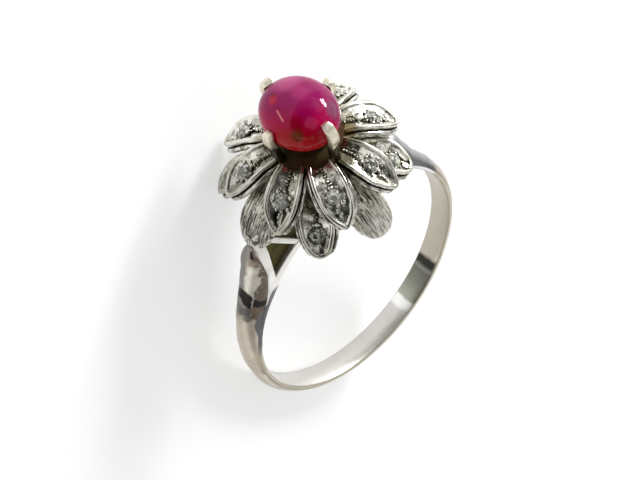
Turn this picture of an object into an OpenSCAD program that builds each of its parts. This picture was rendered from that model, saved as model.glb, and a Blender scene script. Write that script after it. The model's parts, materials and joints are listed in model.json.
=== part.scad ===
// Ruby and diamond flower ring, millimetres.
// The ring is drawn flat: finger axis along Z, flower towards +Y. The head is drawn upright, Z up.
// Both are then laid down as the ring rests: on two leaf tips and on the edge of the band.

/* [Band] */
// Inner diameter of the band
hole_d = 17; // [15:0.1:21]
// Width of the band along the finger
band_w = 1.74; // [1.5:0.02:2]
// Thickness of the band at its crown
band_t = 0.76; // [0.7:0.02:0.9]
// Thickness of the band at its flat edges
edge_t = 0.28; // [0.2:0.02:0.35]

/* [Shoulders] */
// Radius of the arc that the left shoulder's crown follows
left_arc = 16.5; // [16:0.5:18]
// Angle below the middle of the ring where the left shoulder leaves the band
left_start = 6; // [4:1:8]
// Height above the middle of the finger hole where the left arc ends in its rounded nose
left_top = 9.3; // [9.1:0.1:9.4]
// Radius of the arc that the right shoulder's crown follows
right_arc = 32; // [30:1:34]
// Angle below the middle where the right shoulder leaves the band, above it when negative
right_start = -17; // [-19:1:-15]
// Height where the right arc ends in its nose
right_top = 9.1; // [9:0.1:9.2]
// Depth of the half-oval shoulder section
crown_depth = 1.55; // [1.4:0.05:1.6]
// Width of the shoulders
shoulder_w = 1.82; // [1.8:0.02:1.9]
// Distance from the middle to the inner side of the left shoulder's upright arm
left_arm = 5.7; // [5.6:0.05:5.8]
// The same on the right
right_arm = 4.9; // [4.8:0.05:5]
// Thickness of the inner arm that follows the finger
arm_t = 0.62; // [0.55:0.01:0.7]

/* [Upper petals] */
// Distance of the petal tips from the head's axis
upper_reach = 5.95; // [5.8:0.05:6.1]
// Height of the petal tips above the middle of the finger hole
upper_tip = 12.85; // [12.7:0.05:13]
// Width of an upper petal
upper_w = 2.3; // [2.2:0.05:2.4]
// Thickness of the petals and leaves that carry stones
petal_t = 0.85; // [0.8:0.05:0.9]
// Width of the raised rim
rim_w = 0.34; // [0.3:0.02:0.4]
// Depth of the bowl inside the rim
bowl_depth = 0.3; // [0.26:0.02:0.32]

/* [Lower leaves] */
// Distance of the stone-set leaf tips from the head's axis
lower_reach = 6.25; // [6.1:0.05:6.4]
// Height of the stone-set leaf tips
lower_tip = 10.95; // [10.8:0.05:11.1]
// Width of a stone-set leaf
lower_w = 2.4; // [2.3:0.05:2.5]
// Distance of the satin leaf tips from the head's axis
satin_reach = 6; // [5.9:0.05:6.1]
// Height of the satin leaf tips
satin_tip = 10.35; // [10.2:0.05:10.5]
// Width of a satin leaf
satin_w = 2.7; // [2.5:0.05:2.9]
// Thickness of a satin leaf
satin_t = 0.5; // [0.45:0.01:0.6]

/* [Stones] */
// Size of the ruby along the finger
ruby_l = 5.45; // [5.3:0.05:5.6]
// Size of the ruby across the finger
ruby_w = 4.7; // [4.6:0.05:4.8]
// Height of the ruby's dome above its widest level
ruby_dome = 1.9; // [1.8:0.05:2]
// Depth of the ruby below its widest level
ruby_belly = 1.25; // [1.2:0.05:1.3]
// Height of the ruby's widest level above the middle of the finger hole
ruby_z = 17.76; // [17.7:0.02:17.9]
// Diameter of a diamond
diamond_d = 1.08; // [1:0.02:1.14]
// Gap between a stone and its seat
seat_gap = 0.03; // [0.02:0.01:0.05]

/* [Claws] */
// Width of a claw
claw_w = 0.6; // [0.5:0.02:0.64]
// Thickness of a claw
claw_t = 0.44; // [0.4:0.02:0.5]
// Angle above the widest level where the claws on the ruby's long sides end
side_claw_end = 17; // [15:1:19]
// The same for the claws at the ruby's two ends
end_claw_end = 31; // [28:1:33]

/* [Rest] */
// Angle by which the finger axis tips towards the flower's back as the ring lies
lean = 11.93; // [8:0.01:15]
// Angle by which the ring then rolls over the satin leaf's tip onto the leaf beside it
roll = 13.74; // [12:0.01:20]

/* [Hidden] */
$fn = 48;

// Root of each kind of leaf, as distance from the axis and height
upper_root = [2.1, 15.45];
lower_root = [2.45, 13.35];
satin_root = [2.2, 13.55];
// Radius of the curve along each leaf
upper_bend = 4.6;
lower_bend = 4.6;
satin_bend = 5.2;
// Where the diamond sits between root and tip
upper_seat = 0.52;
lower_seat = 0.66;
// Radius of the two long sides of each outline, and of its rounded tip
upper_sides = 3.2;
upper_nose = 0.45;
lower_sides = 3.4;
lower_nose = 0.8;
satin_sides = 4;
satin_nose = 1.25;
// Handwork: how far each petal is turned from its even place and how much longer it is,
// eighth by eighth from the right shoulder
upper_turn = [0, 0, 2, -1.5, 0.5, -0.5, -4, 1.5];
upper_stretch = [0, -0.35, 0.3, 0, 0, 0, 0, 0];
// The same for the four stone-set leaves and the four satin ones
lower_turn = [0, 0, 2, 0];
lower_stretch = [0, 0.45, 0, -0.3];
satin_turn = [0, -5.8, -1.5, -3];
satin_stretch = [0, 0, 0, -0.3];
eighth = 45;

hole_r = hole_d / 2;
crown_r = hole_r + band_t;
arm_r = hole_r + arm_t;
// How far a shoulder's crown stands proud of the band where it leaves it
crown_lift = 0.05;
// How far the flat web reaches in to the rounded crown, and how far the nose turns over
web_overlap = 0.35;
nose_turn = 90;
diamond_crown = 0.19;
diamond_girdle = 0.05;
diamond_pavilion = 0.46;
diamond_table = 0.64;
// How far a diamond's widest level stands above the floor of its bowl
diamond_lift = 0.06;
stem_r = 1.3;
collet_r = 1.75;
collet_wall = 0.35;
collet_foot = 14.2;
neck_w = 0.9;
neck_back = 1;
neck_l = 1.8;
claw_knee = 15.1;
// Longer than anything it cuts through
long = 12;
ruby_base = ruby_z - ruby_belly;

function chord(root, tip) = norm(tip - root);
function along(root, tip) = (tip - root) / chord(root, tip);
function outward(root, tip) = let (u = along(root, tip)) [-u[1], u[0]];
function bend_centre(root, tip, bend) =
    (root + tip) / 2 - outward(root, tip) * sqrt(bend * bend - pow(chord(root, tip) / 2, 2));
function slope(root, tip) = let (u = along(root, tip)) atan2(-u[1], u[0]);
// Angle from the vertical of the leaf's surface at a place between root and tip
function seat_angle(root, tip, bend, place) =
    slope(root, tip) + asin((place - 0.5) * chord(root, tip) / bend);
function upper_at(i) = (i + 0.5) * eighth + upper_turn[i];
function lower_at(i) = (2 * i + 1) * eighth + lower_turn[i];
function satin_at(i) = 2 * i * eighth + satin_turn[i];

function stretched(root, tip, extra) = tip + extra * along(root, tip);
function upper_point(i) = stretched(upper_root, [upper_reach, upper_tip], upper_stretch[i]);
function lower_point(i) = stretched(lower_root, [lower_reach, lower_tip], lower_stretch[i]);
function satin_point(i) = stretched(satin_root, [satin_reach, satin_tip], satin_stretch[i]);

// Lays the flat ring down in its resting place
module laid() {
    rotate([-lean, roll, 0]) rotate([0, 0, 180]) children();
}

// Stands the upright head on the flat ring
module head() {
    rotate([-90, 0, 0]) children();
}

// Half-round section of the band, drawn at its distance from the finger axis
module band_section() {
    rise = band_t - edge_t;
    arc = (pow(band_w / 2, 2) + rise * rise) / (2 * rise);
    intersection() {
        translate([crown_r - arc, 0]) circle(arc);
        translate([hole_r, -band_w / 2]) square([band_t, band_w]);
    }
}

module band() {
    rotate_extrude() band_section();
}

// Inner arms of both shoulders, joined under the head
module inner_arm() {
    rotate([0, 0, 30])
        rotate_extrude(angle = 120) translate([hole_r, -band_w / 2]) square([arm_t, band_w]);
}

// Half-oval section of a shoulder, crown outwards at a distance from the axis it turns about
module shoulder_section(crown) {
    steps = 12;
    polygon([for (k = [0:steps]) let (a = -90 + 180 * k / steps)
        [crown + crown_depth * (cos(a) - 1), shoulder_w / 2 * sin(a)]]);
}

function arc_centre(arc, start) = (arc - crown_r - crown_lift) * [cos(start), sin(start)];

// Rounded outer part of a left shoulder: the long arc, then the nose under the satin leaf
module shoulder_crown(arc, start, top) {
    centre = arc_centre(arc, start);
    finish = asin((top - centre[1]) / arc);
    translate(centre) rotate([0, 0, 180 - finish]) {
        rotate_extrude(angle = finish + start) shoulder_section(arc);
        translate([arc - crown_depth, 0]) rotate([0, 0, -nose_turn])
            rotate_extrude(angle = nose_turn) shoulder_section(crown_depth);
    }
}

// Flat web of a left shoulder: a fork between the inner arm and the upright arm under the leaf
module shoulder_web(arc, start, arm) {
    linear_extrude(band_w, center = true) intersection() {
        polygon([[-arm, 6.6], [-arm, 10.2], [-arm + 0.3, 10.7], [-arm - 0.5, 10.7], [-arm - 1.5, 9.3],
                 [-9, 5.4], [-8.8, 2.6], [-8.2, 2.8], [-6.9, 5.4]]);
        translate(arc_centre(arc, start)) circle(arc - crown_depth + web_overlap, $fn = 128);
    }
}

module shoulders() {
    shoulder_crown(left_arc, left_start, left_top);
    shoulder_web(left_arc, left_start, left_arm);
    mirror([1, 0, 0]) {
        shoulder_crown(right_arc, right_start, right_top);
        shoulder_web(right_arc, right_start, right_arm);
    }
}

// Outline of a leaf along X from its root to its rounded tip, drawn in by an inset all round
module leaf_outline(length, width, sides, nose, inset = 0) {
    side_y = sides - width / 2;
    nose_x = sqrt(pow(sides - nose, 2) - side_y * side_y);
    blend_x = nose_x * (sides - inset) / (sides - nose);
    translate([length - nose - nose_x, 0]) intersection() {
        translate([0, side_y]) circle(sides - inset, $fn = 96);
        translate([0, -side_y]) circle(sides - inset, $fn = 96);
        union() {
            translate([nose_x, 0]) circle(nose - inset);
            translate([blend_x - length, -width]) square([length, 2 * width]);
        }
    }
}

// Neck that joins a leaf to the stem
module neck_outline() {
    translate([-neck_back, -neck_w / 2]) square([neck_l, neck_w]);
}

// Outline pushed through a leaf, square to the line from root to tip
module through_leaf(root, tip) {
    translate([root[0], 0, root[1]]) rotate([0, slope(root, tip), 0])
        linear_extrude(long / 2, center = true) children();
}

// Solid roller whose surface is the curve along a leaf
module bend_roller(root, tip, bend, inset) {
    c = bend_centre(root, tip, bend);
    translate([c[0], 0, c[1]]) rotate([90, 0, 0])
        cylinder(h = long / 2, r = bend - inset, center = true, $fn = 96);
}

// A curved leaf of the outline and neck given as children
module leaf(root, tip, bend, thick) {
    difference() {
        intersection() {
            through_leaf(root, tip) {
                children(0);
                children(1);
            }
            bend_roller(root, tip, bend, 0);
        }
        bend_roller(root, tip, bend, thick);
    }
}

// Places a stone or its seat on a leaf, with Z along the stone
module on_leaf(root, tip, bend, place) {
    c = bend_centre(root, tip, bend);
    translate([c[0], 0, c[1]]) rotate([0, seat_angle(root, tip, bend, place), 0])
        translate([0, 0, bend - bowl_depth + diamond_lift]) children();
}

// Round brilliant from culet to table, grown by the gap for its seat
module brilliant(grow) {
    r = diamond_d / 2 + grow;
    half_girdle = diamond_girdle / 2;
    translate([0, 0, -half_girdle - diamond_pavilion - grow])
        cylinder(h = diamond_pavilion + grow, r1 = 0.02, r2 = r);
    translate([0, 0, -half_girdle]) cylinder(h = diamond_girdle, r = r);
    translate([0, 0, half_girdle])
        cylinder(h = diamond_crown, r1 = r, r2 = diamond_table / 2 + grow);
}

// Space for a diamond, open upwards
module seat() {
    brilliant(seat_gap);
    cylinder(h = 1, r = diamond_d / 2 + seat_gap);
}

// A leaf with a rim, a bowl and a seat
module set_leaf(root, tip, bend, width, sides, nose, place) {
    length = chord(root, tip);
    difference() {
        leaf(root, tip, bend, petal_t) {
            leaf_outline(length, width, sides, nose);
            neck_outline();
        }
        difference() {
            through_leaf(root, tip) leaf_outline(length, width, sides, nose, rim_w);
            bend_roller(root, tip, bend, bowl_depth);
        }
        on_leaf(root, tip, bend, place) seat();
    }
}

module upper_petals() {
    for (i = [0:7]) rotate([0, 0, upper_at(i)])
        set_leaf(upper_root, upper_point(i), upper_bend, upper_w, upper_sides, upper_nose, upper_seat);
}

module lower_leaves() {
    for (i = [0:3]) rotate([0, 0, lower_at(i)])
        set_leaf(lower_root, lower_point(i), lower_bend, lower_w, lower_sides, lower_nose, lower_seat);
}

module satin_leaves() {
    for (i = [0:3]) rotate([0, 0, satin_at(i)])
        leaf(satin_root, satin_point(i), satin_bend, satin_t) {
            leaf_outline(chord(satin_root, satin_point(i)), satin_w, satin_sides, satin_nose);
            neck_outline();
        }
}

// Stem on the inner arm, and the collet under the ruby
module collet() {
    translate([0, 0, arm_r - 0.2]) cylinder(h = collet_foot - arm_r + 0.3, r = stem_r);
    translate([0, 0, collet_foot]) difference() {
        cylinder(h = ruby_base - seat_gap - collet_foot, r1 = stem_r, r2 = collet_r);
        translate([0, 0, collet_wall])
            cylinder(h = ruby_base - collet_foot, r1 = stem_r - collet_wall, r2 = collet_r - collet_wall);
    }
}

// One claw: leg, bend round the ruby's widest level and end folded over it
module claw(half_size, finish) {
    low = -25;
    steps = 6;
    angles = [for (k = [0:steps]) low + (finish - low) * k / steps];
    inside = [for (a = angles) [(half_size + seat_gap) * cos(a), ruby_z + (ruby_dome + seat_gap) * sin(a)]];
    outside = [for (k = [steps:-1:0]) let (a = angles[k])
        [(half_size + seat_gap + claw_t) * cos(a), ruby_z + (ruby_dome + seat_gap + claw_t) * sin(a)]];
    foot = [[half_size, claw_knee], [half_size - 0.1, satin_root[1]], [stem_r - 0.1, satin_root[1]],
            [stem_r - 0.1, collet_foot + 0.2], [half_size - 0.6, ruby_base - 0.6]];
    rotate([90, 0, 0]) linear_extrude(claw_w, center = true) polygon(concat(inside, outside, foot));
}

module claws() {
    for (side = [0, 1]) {
        rotate([0, 0, 180 * side]) claw(ruby_w / 2, side_claw_end);
        rotate([0, 0, 90 + 180 * side]) claw(ruby_l / 2, end_claw_end);
    }
}

// All soldered metal: band, shoulders, leaves, collet and claws
module ring_body() {
    color("silver") laid() difference() {
        union() {
            band();
            inner_arm();
            shoulders();
            head() {
                upper_petals();
                lower_leaves();
                satin_leaves();
                collet();
                claws();
            }
        }
        cylinder(h = long, r = hole_r, center = true, $fn = 128);
    }
}

module ruby() {
    color("crimson") laid() head() translate([0, 0, ruby_z]) intersection() {
        scale([ruby_w / 2, ruby_l / 2, ruby_dome]) sphere(1);
        translate([0, 0, long / 2 - ruby_belly]) cube(long, center = true);
    }
}

// Diamonds 1 to 8 are in the upper petals and 9 to 12 in the lower leaves
module diamond(number) {
    i = number - 1;
    color("white") laid() head()
        if (i < 8)
            rotate([0, 0, upper_at(i)])
                on_leaf(upper_root, upper_point(i), upper_bend, upper_seat) brilliant(0);
        else
            rotate([0, 0, lower_at(i - 8)])
                on_leaf(lower_root, lower_point(i - 8), lower_bend, lower_seat) brilliant(0);
}

ring_body();
ruby();
for (number = [1:12])
    diamond(number);
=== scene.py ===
"""Looks of the flower ring: white gold petals round an oval ruby, lying on its side on a pale floor."""

import json
import math
from collections import namedtuple
from random import Random

import bmesh
import bpy
from mathutils import Matrix, Vector, noise

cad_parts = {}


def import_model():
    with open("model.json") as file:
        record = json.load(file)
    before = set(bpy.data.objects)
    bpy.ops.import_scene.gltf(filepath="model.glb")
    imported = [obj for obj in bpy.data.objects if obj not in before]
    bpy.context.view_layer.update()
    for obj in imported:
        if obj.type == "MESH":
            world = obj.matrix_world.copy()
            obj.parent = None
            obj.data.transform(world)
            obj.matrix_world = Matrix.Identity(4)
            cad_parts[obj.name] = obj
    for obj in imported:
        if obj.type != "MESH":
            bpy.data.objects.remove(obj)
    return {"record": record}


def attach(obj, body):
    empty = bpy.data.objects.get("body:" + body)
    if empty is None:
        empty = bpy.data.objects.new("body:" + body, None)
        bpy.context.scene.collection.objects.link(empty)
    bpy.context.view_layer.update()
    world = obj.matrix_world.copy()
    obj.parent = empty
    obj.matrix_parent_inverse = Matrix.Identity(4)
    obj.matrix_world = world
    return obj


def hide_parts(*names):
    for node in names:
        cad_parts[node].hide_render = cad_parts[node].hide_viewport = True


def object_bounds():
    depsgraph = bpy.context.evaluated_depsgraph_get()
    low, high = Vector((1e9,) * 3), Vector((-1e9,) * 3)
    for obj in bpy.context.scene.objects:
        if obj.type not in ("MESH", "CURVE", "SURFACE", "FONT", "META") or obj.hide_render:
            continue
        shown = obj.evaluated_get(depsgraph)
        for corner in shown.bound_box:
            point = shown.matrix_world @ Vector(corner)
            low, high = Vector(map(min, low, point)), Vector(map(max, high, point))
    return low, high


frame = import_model()
cad_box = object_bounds()

MM = 0.001

# Sizes in millimetres, as in the part's source
HOLE_R = frame["record"]["mounts"][0]["dims"]["r_mm"]
BAND_W = frame["record"]["mounts"][0]["dims"]["length_mm"]
BAND_T = 0.76
EDGE_T = 0.3
# A soldered face stands this much above the one behind it
SKIN = 0.004
ARM_T = 0.62
CROWN_R = HOLE_R + BAND_T
ARM_R = HOLE_R + ARM_T

SHOULDER_W = 1.82
RUBY_Z = 17.76
RUBY_ACROSS = 2.35
RUBY_ALONG = 2.725
RUBY_DOME = 1.9
RUBY_BELLY = 1.25
DIAMOND_R = 0.54
STONE_GAP = 0.03
EIGHTH = math.radians(45)

# The ring lies on its side: its finger axis leans back and then rolls over
LEAN = math.radians(11.93)
ROLL = math.radians(13.74)
# Flat drawing (finger along Z, flower towards +Y, millimetres) to the row frame
LAID = (Matrix.Scale(MM, 4) @ Matrix.Rotation(ROLL, 4, "Y") @ Matrix.Rotation(-LEAN, 4, "X")
        @ Matrix.Rotation(math.pi, 4, "Z"))
# Upright head (Z up) to the flat drawing
HEAD = Matrix.Rotation(-math.pi / 2, 4, "X")

# bend, sides and nose are radii: of the leaf's curve, its side arcs and its tip
# blunt is the width at its root, as a share of its widest
Leaf = namedtuple("Leaf", "root tip bend width sides nose thick blunt")
UPPER = Leaf((2.1, 15.45), (5.95, 12.85), 4.6, 2.3, 3.2, 0.45, 0.85, 0.74)
LOWER = Leaf((2.45, 13.35), (6.25, 10.95), 4.6, 2.4, 3.4, 0.8, 0.85, 0.62)
SATIN = Leaf((2.2, 13.55), (6.0, 10.35), 5.2, 2.7, 4.0, 1.25, 0.5, 0.5)
ROOT_END = -0.3
UPPER_SEAT = 0.52
LOWER_SEAT = 0.66
# Handwork of each leaf, eighth by eighth from the right shoulder: turn in degrees and extra length
UPPER_TURN = (0, 0, 2, -1.5, 0.5, -0.5, -4, 1.5)
UPPER_STRETCH = (0, -0.35, 0.3, 0, 0, 0, 0, 0)
LOWER_TURN = (0, 0, 2, 0)
LOWER_STRETCH = (0, 0.45, 0, -0.3)
UPPER_SPREAD = (1, 1, 1, 1, 1, 1, 1, 1.22)
LOWER_SPREAD = (1, 1, 1, 1.28)
SATIN_TURN = (0, -5.8, -1.5, -1.5)
SATIN_STRETCH = (0, 0, 0.25, 0)
SATIN_SPREAD = (1, 1, 1.12, 1)
# The first leaf of a kind draws its handwork with this seed, and the upper petals start at 0
LOWER_SEED = 20
SATIN_SEED = 40


# Shader maths

# Sockets of a Mix node that mixes colours
FACTOR, FIRST, SECOND, MIXED = 0, 6, 7, 2
SKY_SAMPLES = 6
CENTRE = (0, 0, 0)


def drawn_way(x, y, z):
    """A direction of the flat drawing, in the frame."""
    return (LAID.to_3x3() @ Vector((x, y, z))).normalized()


def maths(operation):
    """A method of Value that adds one Math node."""
    def method(self, *others):
        return self.math(operation, *others)
    return method


class Value:
    """A number socket in a material, so that maths on it reads as plain expressions."""

    def __init__(self, finish, socket):
        self.finish = finish
        self.socket = socket

    def math(self, operation, *others):
        values = [self, *others]
        return self.finish.node("Math", {"operation": operation}, dict(enumerate(values))).value(0)

    __add__ = maths("ADD")
    __radd__ = maths("ADD")
    __sub__ = maths("SUBTRACT")
    __mul__ = maths("MULTIPLY")
    __rmul__ = maths("MULTIPLY")
    __truediv__ = maths("DIVIDE")
    __pow__ = maths("POWER")
    most = maths("MAXIMUM")
    size = maths("ABSOLUTE")

    def __rsub__(self, other):
        return self * -1 + other

    def ramp(self, low, high):
        """0 below low and 1 above high, smooth between."""
        return self.finish.node("MapRange", {"interpolation_type": "SMOOTHSTEP"},
                                {"Value": self, "From Min": low, "From Max": high}).value("Result")


class Node:
    """A node of a material, for the sockets that it gives."""

    def __init__(self, finish, node):
        self.finish = finish
        self.node = node

    def value(self, socket):
        return Value(self.finish, self.node.outputs[socket])


class Finish:
    """A material or a world in the making."""

    def __init__(self, made, surface="Principled BSDF"):
        made.use_nodes = True
        self.material = made
        self.tree = made.node_tree
        self.surface = self.tree.nodes[surface]

    def node(self, kind, settings=None, inputs=None):
        made = self.tree.nodes.new("ShaderNode" + kind)
        for name, value in (settings or {}).items():
            setattr(made, name, value)
        for socket, value in (inputs or {}).items():
            self.feed(made.inputs[socket], value)
        return Node(self, made)

    def feed(self, socket, value):
        if isinstance(value, Value):
            self.tree.links.new(value.socket, socket)
        elif socket.type == "RGBA" and len(value) == 3:
            socket.default_value = (*value, 1)
        else:
            socket.default_value = value

    def set(self, **inputs):
        for name, value in inputs.items():
            self.feed(self.surface.inputs[name.replace("_", " ")], value)

    def place(self, source="Object"):
        return self.node("TexCoord").value(source)

    def stretch(self, place, scale):
        return self.node("Mapping", {}, {"Vector": place, "Scale": scale}).value(0)

    def split(self, place):
        """The three parts of a place."""
        parts = self.node("SeparateXYZ", {}, {0: place})
        return [parts.value(k) for k in range(3)]

    def vector_math(self, operation, *vectors):
        return self.node("VectorMath", {"operation": operation}, dict(enumerate(vectors)))

    def noise(self, place, scale, detail=2.0, roughness=0.5):
        return self.node("TexNoise", {}, {"Vector": place, "Scale": scale, "Detail": detail,
                                          "Roughness": roughness}).value(0)

    def cells(self, place, scale):
        """A grey of its own for each small facet."""
        made = self.node("TexVoronoi", {"feature": "F1"}, {"Vector": place, "Scale": scale})
        return self.node("SeparateColor", {}, {"Color": made.value("Color")}).value("Red")

    def away(self, place, point):
        """Distance from a point of the frame."""
        return self.vector_math("DISTANCE", place, tuple(point)).value("Value")

    def along(self, place, point, way):
        """How far a place lies past a point of the frame in one direction."""
        start = sum(a * b for a, b in zip(point, way))
        return self.vector_math("DOT_PRODUCT", place, tuple(way)).value("Value") - start

    def drawn(self, place):
        """Millimetres in the flat drawing: across, up, along the finger and out from its axis."""
        x, y, z = [self.along(place, CENTRE, drawn_way(*axis)) / MM for axis in Matrix.Identity(3)]
        return x, y, z, (x * x + y * y) ** 0.5

    def off_line(self, place, start, end):
        """Distance from the line between two points, in millimetres."""
        way = (end - start).normalized()
        local = self.vector_math("SUBTRACT", place, tuple(start)).value(0)
        cross = self.vector_math("CROSS_PRODUCT", local, tuple(way)).value(0)
        across = self.vector_math("LENGTH", cross).value("Value") / MM
        beyond = self.along(place, (start + end) / 2, way).size() / MM - (end - start).length / MM / 2
        return across + beyond.most(0)

    def hollow(self, reach, strength, ragged, low, high):
        """1 where something stands well nearer than the reach in millimetres, 0 on open metal."""
        sky = self.node("AmbientOcclusion", {"samples": SKY_SAMPLES}, {"Distance": reach * MM}).value("AO")
        return ((1 - sky) * strength + ragged).ramp(low, high)

    def mix(self, factor, a, b):
        """From colour a to colour b."""
        return self.node("Mix", {"data_type": "RGBA"}, {FACTOR: factor, FIRST: a, SECOND: b}).value(MIXED)

    def bump(self, height, strength, distance):
        return self.node("Bump", {}, {"Height": height, "Strength": strength, "Distance": distance}).value(0)


# Colours of the metal, and of the shade and reflections painted on it
CREAM = (0.90, 0.84, 0.71)
OLD_CREAM = (0.72, 0.65, 0.50)
SHANK_LIGHT = (0.60, 0.53, 0.44)
SHANK_DULL = (0.50, 0.44, 0.36)
BRIGHT = (0.96, 0.96, 0.95)
PALE_GREY = (0.42, 0.42, 0.425)
GREY = (0.14, 0.135, 0.125)
SLATE = (0.145, 0.145, 0.150)
SIDE_SHADE_GREY = (0.15, 0.145, 0.15)
BROWN = (0.20, 0.15, 0.11)
LEG_BROWN = (0.045, 0.034, 0.016)
HONEY = (0.26, 0.20, 0.08)
OLIVE_BROWN = (0.10, 0.082, 0.028)
DEEP_OLIVE = (0.05, 0.04, 0.012)
OLIVE = (0.085, 0.075, 0.028)
BLACK = (0.02, 0.018, 0.014)
SOOT_AND_SHADE = (0.012, 0.010, 0.007)


def stains(f, place, colour, smudges):
    """Lays smudges with ragged edges over a colour."""
    ragged = (f.noise(place, 900, 3, 0.6) - 0.5) * 0.7 + (f.noise(place, 2800, 2, 0.6) - 0.5) * 1.1
    for point, radius, stain, strength in smudges:
        share = f.away(place, point) / (radius * MM) + ragged
        colour = f.mix((1 - share.ramp(0.65, 1.1)) * strength, colour, stain)
    return colour


def ragged_at(f, place):
    """Uneven from -0.5 to 0.5, for the edges of worn areas."""
    return f.noise(place, 800, 3, 0.6) - 0.5


def right_painted_shade(f, place, colour):
    """Smooth painted shade on the right shoulder: dark grey towards its near face, lighter on its outer
    side, and bright along the finger hole.
    """
    x, y, z, out = f.drawn(place)
    shade = f.mix(z.ramp(0.50, 0.80), PALE_GREY, SLATE)
    edge = (1 - out.ramp(HOLE_R + 0.18, HOLE_R + 0.28)) * z.ramp(0.70, 0.80)
    shade = f.mix(edge, shade, BRIGHT)
    mask = x.ramp(3.0, 4.0) * (y + z * 0.5 + ragged_at(f, place) * 0.3).ramp(3.5, 4.3)
    return f.mix(mask * out.ramp(HOLE_R + 0.01, HOLE_R + 0.04), colour, shade)


def painted_side_shade(f, place, colour):
    """Painted shade: a dark grey strip on the left shank's flat side, along the finger hole."""
    x, y, _, out = f.drawn(place)
    ragged = ragged_at(f, place)
    swell = y.ramp(2.9, 4.6) * (1 - y.ramp(4.9, 5.6))
    strip = 1 - (out - swell * 0.45 + ragged * 0.12).ramp(HOLE_R + 0.35, HOLE_R + 0.48)
    strip = strip * (y + ragged).ramp(0.9, 2.4) * (1 - y.ramp(6.1, 6.5)) * (0 - x).ramp(3.0, 4.0)
    return right_painted_shade(f, place, f.mix(strip, colour, SIDE_SHADE_GREY))


def band_colour(f, place, colour):
    """Beige edges, brownish outside, and inside a dull part, a dark bar and a greenish part that are painted
    reflections, and a gleam that is a painted highlight.
    """
    outside_brown, inside_light, inside_dull = (0.47, 0.41, 0.33), (0.66, 0.645, 0.615), (0.47, 0.43, 0.35)
    reflection_green_dark, reflection_green_light, dark_reflection_black = (0.12, 0.125, 0.095), (0.40, 0.42, 0.34), (0.026, 0.027, 0.022)
    highlight_white, edge_beige = (0.98, 0.98, 0.96), (0.46, 0.42, 0.31)
    _, _, z, out = f.drawn(place)
    ragged = ragged_at(f, place)
    outside = (out + ragged * 0.3).ramp(HOLE_R + 0.22, HOLE_R + 0.55)
    inside = 1 - out.ramp(HOLE_R + 0.02, HOLE_R + 0.1)
    down = f.along(place, CENTRE, drawn_way(1, -1, 0)) / MM
    front = down.ramp(2.0, 3.0) * inside
    # Distances from the hole's centre: down goes to the lower right, turn to the lower left
    turn = f.along(place, CENTRE, drawn_way(-1, -1, 0)) / MM + ragged * 0.5
    colour = f.mix(outside * 0.75, colour, outside_brown)
    colour = f.mix(inside * 0.9, colour, inside_light)
    colour = f.mix((1 - turn.ramp(0.0, 0.5)) * front * 0.9, colour, inside_dull)
    # Painted reflection: a greenish part of the inside.
    painted_green = turn.ramp(0.3, 0.7) * (1 - turn.ramp(3.1, 3.5)) * front
    colour = f.mix(painted_green * 0.9, colour, f.mix(turn.ramp(0.7, 3.3), reflection_green_dark, reflection_green_light))
    # Painted highlight: a white gleam on the inside.
    painted_gleam = turn.ramp(2.75, 3.0) * (1 - turn.ramp(3.3, 3.7)) * inside * down.ramp(4.0, 5.0)
    colour = f.mix(painted_gleam, colour, highlight_white)
    # Painted reflection: a dark bar on the inside.
    bar = turn.ramp(-0.62, -0.26) * (1 - turn.ramp(0.1, 0.9)) * front
    colour = f.mix(bar * 0.97, colour, dark_reflection_black)
    edge = z.size().ramp(BAND_W / 2 - 0.11, BAND_W / 2 - 0.05) * (1 - out.ramp(HOLE_R + 0.35, HOLE_R + 0.45))
    colour = f.mix(edge * 0.7, colour, edge_beige)
    return painted_side_shade(f, place, colour)


def left_colour(f, place, colour):
    """Left shoulder: a light patch between dull edges and a dark crescent below it, both painted
    reflections, and beige from there on.
    """
    dull_grey, dull_brown, speckle_brown = (0.27, 0.26, 0.245), (0.30, 0.27, 0.23), (0.105, 0.085, 0.065)
    patch_light, patch_brown = (0.80, 0.76, 0.68), (0.42, 0.34, 0.28)
    crescent_reflection_black, line_pale = (0.024, 0.022, 0.02), (0.75, 0.72, 0.66)
    _, y, z, _ = f.drawn(place)
    ragged = ragged_at(f, place)
    fray = (f.noise(place, 2400, 3, 0.7) - 0.5) * 0.42
    across = z + fray + ragged * 0.2
    spread = y.ramp(6.4, 8.4) * 0.15
    # Painted reflection: a light patch along the middle of the crown.
    light = (across + spread).ramp(0.22, 0.50) * (1 - (across - spread).ramp(0.52, 0.74))
    speckle = f.noise(place, 2600, 2, 0.7).ramp(0.55, 0.68)
    dull = f.mix(z.ramp(0.2, 0.8), dull_grey, f.mix(speckle * 0.6, speckle_brown, dull_brown))
    pale = f.mix((y + ragged).ramp(8.9, 9.9), patch_light, patch_brown)
    level = y + z * z * 1.65 + fray * 0.4
    zone = (y + z * z * 1.5 + fray * 1.6 + ragged * 0.6).ramp(5.65, 5.95)
    colour = f.mix(zone * 0.92, colour, f.mix(light * level.ramp(6.7, 7.1), dull, pale))
    taper = z.ramp(0.5, 0.95) * 0.25
    rise = z.ramp(0.3, 0.0) * 0.35 + z.ramp(0.6, 0.95) * 0.45
    # Painted reflection: a dark crescent below the light patch.
    painted_crescent = (level - rise + ragged * 0.2).ramp(6.36, 6.56) * (1 - (level + taper).ramp(7.42, 7.62))
    line = (1 - (z - 0.65 + fray * 0.3).size().ramp(0.0, 0.045)) * y.ramp(5.0, 5.6) * (1 - y.ramp(6.8, 7.6))
    colour = f.mix(painted_crescent * 0.97, colour, crescent_reflection_black)
    colour = f.mix(line * 0.65, colour, line_pale)
    return painted_side_shade(f, place, colour)


def darker_legs(f, place, colour):
    """Brown on the claws' legs, below the ruby's widest level."""
    level = f.drawn(place)[1] + ragged_at(f, place) * 1.2
    return f.mix(level.ramp(RUBY_Z - 0.06, RUBY_Z - 1.06), colour, LEG_BROWN)


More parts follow.
